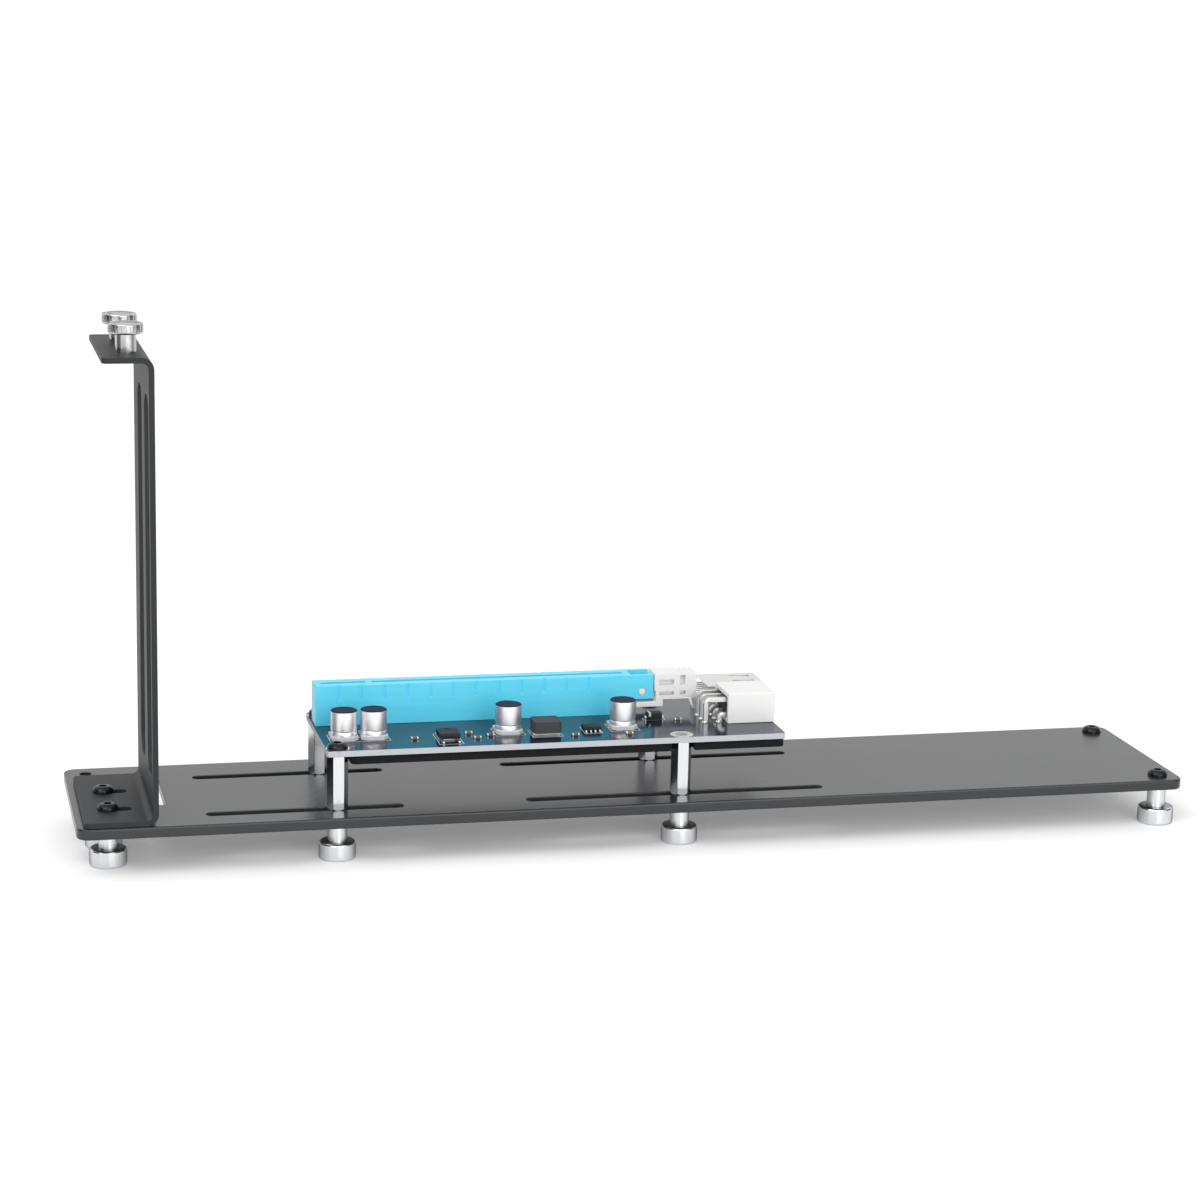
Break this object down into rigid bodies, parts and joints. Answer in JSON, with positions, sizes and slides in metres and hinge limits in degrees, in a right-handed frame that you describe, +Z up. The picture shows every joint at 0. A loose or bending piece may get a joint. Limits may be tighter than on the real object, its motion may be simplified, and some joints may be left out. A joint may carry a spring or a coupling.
{
  "type": "vertical gpu bracket",
  "caption": "Open stand for a graphics card: slotted base plate on thumb-nut feet, folded upright with slot windows and thumb screws, riser board with card slot on standoffs",
  "frame": {"origin": "on the surface the feet stand on, under the middle of the base plate", "axes": "+X along the base plate from the upright's end, +Y from the front edge to the back edge, +Z up"},
  "size_m": [0.31, 0.06, 0.1444],
  "materials": {
    "satin_black_paint": "satin black powder coat",
    "black_oxide_steel": "black oxide",
    "turned_aluminium": "fine turned",
    "nickel_plate": "bright nickel",
    "blue_solder_mask": "dark blue solder mask",
    "sky_blue_plastic": "moulded",
    "white_plastic": "moulded",
    "gold_contacts": "gold flash",
    "can_aluminium": "drawn can",
    "pale_plastic": "moulded",
    "ferrite": "sintered ferrite",
    "package_black": "moulded epoxy",
    "tinned_metal": "tin plate",
    "black_foam": "closed cell foam",
    "port_steel": "bright nickel plated sheet",
    "port_blue_plastic": "moulded"
  },
  "bodies": {
    "base": {"base_plate": "satin_black_paint", "corner_screws": "black_oxide_steel", "right_front_foot": "turned_aluminium", "right_back_foot": "turned_aluminium", "left_front_foot": "turned_aluminium", "left_back_foot": "turned_aluminium", "upright_clamp_screw_front": "black_oxide_steel", "upright_clamp_screw_back": "black_oxide_steel"},
    "riser": {"board_screws": "black_oxide_steel", "slot_nut_left_front": "turned_aluminium", "slot_nut_left_back": "turned_aluminium", "slot_nut_right_front": "turned_aluminium", "slot_nut_right_back": "turned_aluminium", "standoff_left_front": "turned_aluminium", "standoff_left_back": "turned_aluminium", "standoff_right_front": "turned_aluminium", "standoff_right_back": "turned_aluminium", "riser_board": "blue_solder_mask", "slot_housing": "sky_blue_plastic", "power_header": "white_plastic", "slot_contacts": "gold_contacts", "capacitor_can_one": "can_aluminium", "capacitor_can_two": "can_aluminium", "capacitor_can_three": "can_aluminium", "capacitor_can_four": "can_aluminium", "capacitor_base_one": "pale_plastic", "capacitor_base_two": "pale_plastic", "capacitor_base_three": "pale_plastic", "capacitor_base_four": "pale_plastic", "power_coil": "ferrite", "voltage_regulator": "package_black", "driver_chip": "package_black", "diode": "package_black", "chip_resistors": "package_black", "power_coil_terminals": "tinned_metal", "voltage_regulator_leads": "tinned_metal", "driver_chip_leads": "tinned_metal", "diode_leads": "tinned_metal", "port_legs": "tinned_metal", "power_header_pins": "tinned_metal", "insulating_pad": "black_foam", "port_shell": "port_steel", "port_tongue": "port_blue_plastic"},
    "upright": {"upright": "satin_black_paint"},
    "front_thumb_screw": {"thumb_screw_front": "nickel_plate"},
    "back_thumb_screw": {"thumb_screw_back": "nickel_plate"},
    "latch": {"slot_latch": "white_plastic"}
  },
  "joints": [
    {"name": "upright_slide", "type": "slide", "parent": "base", "child": "upright", "axis": [1, 0, 0], "range_m": [-0.0045, 0]},
    {"name": "riser_slide", "type": "slide", "parent": "base", "child": "riser", "axis": [1, 0, 0], "range_m": [-0.033, 0.016]},
    {"name": "front_thumb_turn", "type": "hinge", "parent": "upright", "child": "front_thumb_screw", "pos_m": [-0.1399, -0.0172, 0.1369], "axis": [0, 0, 1], "continuous": true},
    {"name": "back_thumb_turn", "type": "hinge", "parent": "upright", "child": "back_thumb_screw", "pos_m": [-0.1399, 0.00312, 0.1369], "axis": [0, 0, 1], "continuous": true},
    {"name": "latch_tilt", "type": "hinge", "parent": "riser", "child": "latch", "pos_m": [0.0041, 0.00685, 0.0367], "axis": [0, 1, 0], "range_deg": [0, 13]}
  ]
}
